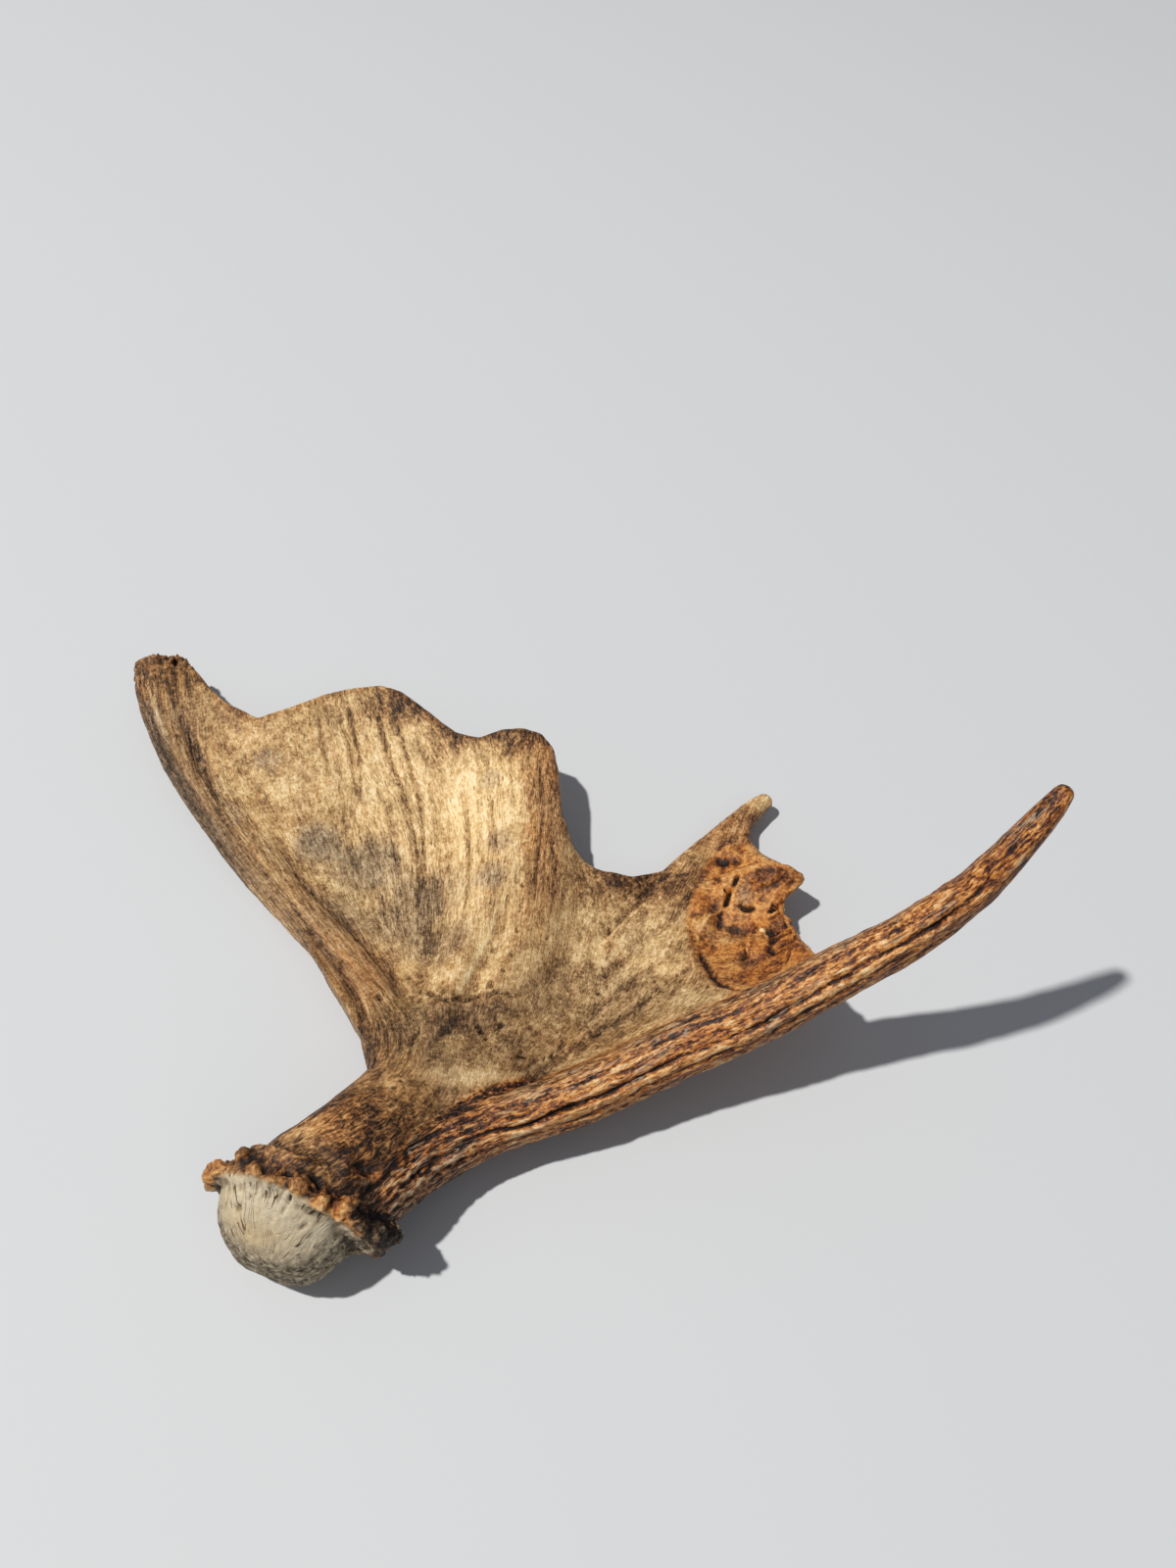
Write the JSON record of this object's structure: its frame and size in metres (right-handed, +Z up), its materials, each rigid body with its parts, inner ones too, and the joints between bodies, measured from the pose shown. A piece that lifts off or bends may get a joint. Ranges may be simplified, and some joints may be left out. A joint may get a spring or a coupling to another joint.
{
  "type": "moose antler",
  "caption": "Shed palmate antler with a domed burr, a dished main palm and a brow palm ending in a long upturned tine.",
  "frame": {"origin": "centre of the bounding box on the table plane that the antler rests on", "axes": "+Z up from the table; +X from the left rim of the main palm towards the long tine; +Y from the burr towards the far edge of the main palm"},
  "size_m": [0.4312, 0.3326, 0.1415],
  "materials": {
    "beam_bone": "satin, weathered bone",
    "palm_bone": "satin, weathered bone",
    "brow_bone": "satin, weathered bone",
    "tine_bone": "polished bone"
  },
  "bodies": {
    "root": {"burr_and_beam": "beam_bone", "main_palm": "palm_bone", "brow_palm": "brow_bone", "long_tine": "tine_bone"}
  },
  "joints": []
}
